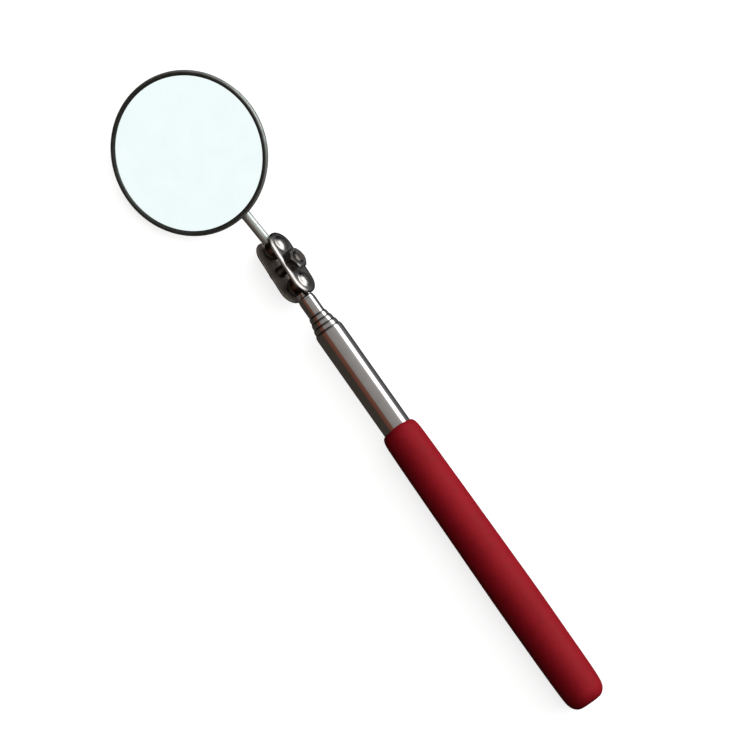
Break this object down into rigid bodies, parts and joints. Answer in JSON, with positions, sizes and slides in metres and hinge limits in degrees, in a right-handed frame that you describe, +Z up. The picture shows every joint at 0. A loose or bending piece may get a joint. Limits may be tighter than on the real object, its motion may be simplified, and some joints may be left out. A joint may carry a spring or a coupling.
{
  "type": "telescoping inspection mirror",
  "caption": "Round mirror on a double-ball clamp at the tip of a telescopic tube with a dipped grip, for looking into hidden places.",
  "frame": {"origin": "centre of the bounding box in X and Y, at the surface the tool lies on", "axes": "+X along the tube towards the butt of the grip, +Z up from the surface it lies on"},
  "size_m": [0.258, 0.0518, 0.0289],
  "materials": {
    "grip": "matte dipped vinyl",
    "tube_1": "polished chrome plate",
    "tube_2": "polished chrome plate",
    "sleeve_2": "spring brass",
    "tube_3": "polished chrome plate",
    "sleeve_3": "spring brass",
    "tube_4": "polished chrome plate",
    "sleeve_4": "spring brass",
    "tube_5": "polished chrome plate",
    "sleeve_5": "spring brass",
    "ball_stem": "polished",
    "lower_ball": "smoked nickel",
    "clamp_plate_back": "dark nickel plate",
    "clamp_screw": "dark nickel plate",
    "clamp_plate_front": "dark nickel plate",
    "clamp_nut": "dark nickel plate",
    "upper_ball": "smoked nickel",
    "mirror_rod": "zinc plate",
    "rivet_1": "zinc plate",
    "rivet_2": "zinc plate",
    "mirror_cup": "black rolled rim",
    "mirror_pad": "adhesive foam",
    "mirror_glass": "silvered"
  },
  "bodies": {
    "handle": {"grip": "grip", "tube_1": "tube_1"},
    "stage_2": {"tube_2": "tube_2", "sleeve_2": "sleeve_2"},
    "stage_3": {"tube_3": "tube_3", "sleeve_3": "sleeve_3"},
    "stage_4": {"tube_4": "tube_4", "sleeve_4": "sleeve_4"},
    "stage_5": {"tube_5": "tube_5", "sleeve_5": "sleeve_5", "ball_stem": "ball_stem"},
    "lower_ball": {"lower_ball": "lower_ball"},
    "clamp": {"clamp_plate_back": "clamp_plate_back", "clamp_screw": "clamp_screw"},
    "front_plate": {"clamp_plate_front": "clamp_plate_front"},
    "nut": {"clamp_nut": "clamp_nut"},
    "upper_ball": {"upper_ball": "upper_ball"},
    "mirror_head": {"mirror_rod": "mirror_rod", "rivet_1": "rivet_1", "rivet_2": "rivet_2", "mirror_cup": "mirror_cup", "mirror_pad": "mirror_pad", "mirror_glass": "mirror_glass"}
  },
  "joints": [
    {"name": "stage_2_slide", "type": "slide", "parent": "handle", "child": "stage_2", "axis": [-1, 0, 0], "range_m": [0, 0.13]},
    {"name": "stage_3_slide", "type": "slide", "parent": "stage_2", "child": "stage_3", "axis": [-1, 0, 0], "range_m": [0, 0.126]},
    {"name": "stage_4_slide", "type": "slide", "parent": "stage_3", "child": "stage_4", "axis": [-1, 0, 0], "range_m": [0, 0.12]},
    {"name": "stage_5_slide", "type": "slide", "parent": "stage_4", "child": "stage_5", "axis": [-1, 0, 0], "range_m": [0, 0.115]},
    {"name": "lower_ball_spin", "type": "hinge", "parent": "stage_5", "child": "lower_ball", "pos_m": [-0.04322, 0.00463, 0.0076], "axis": [-1, 0, 0], "continuous": true},
    {"name": "clamp_swing", "type": "hinge", "parent": "lower_ball", "child": "clamp", "pos_m": [-0.04322, 0.00463, 0.0076], "axis": [0, 0.7793, 0.6266], "range_deg": [-70, 79]},
    {"name": "mirror_swing", "type": "hinge", "parent": "clamp", "child": "upper_ball", "pos_m": [-0.05807, 0.00536, 0.00669], "axis": [0, 0.7793, 0.6266], "range_deg": [-86, 63]},
    {"name": "mirror_spin", "type": "hinge", "parent": "upper_ball", "child": "mirror_head", "pos_m": [-0.05807, 0.00536, 0.00669], "axis": [-0.9928, -0.0753, 0.0936], "continuous": true},
    {"name": "plate_release", "type": "slide", "parent": "clamp", "child": "front_plate", "axis": [0, 0.7793, 0.6266], "range_m": [0, 0.000525]},
    {"name": "nut_turn", "type": "hinge", "parent": "front_plate", "child": "nut", "pos_m": [-0.05065, 0.00938, 0.01067], "axis": [0, 0.7793, 0.6266], "range_deg": [0, 270]}
  ],
  "couplings": [
    {"joint": "nut_turn", "follows": "plate_release", "rad_per_m": 8976}
  ]
}
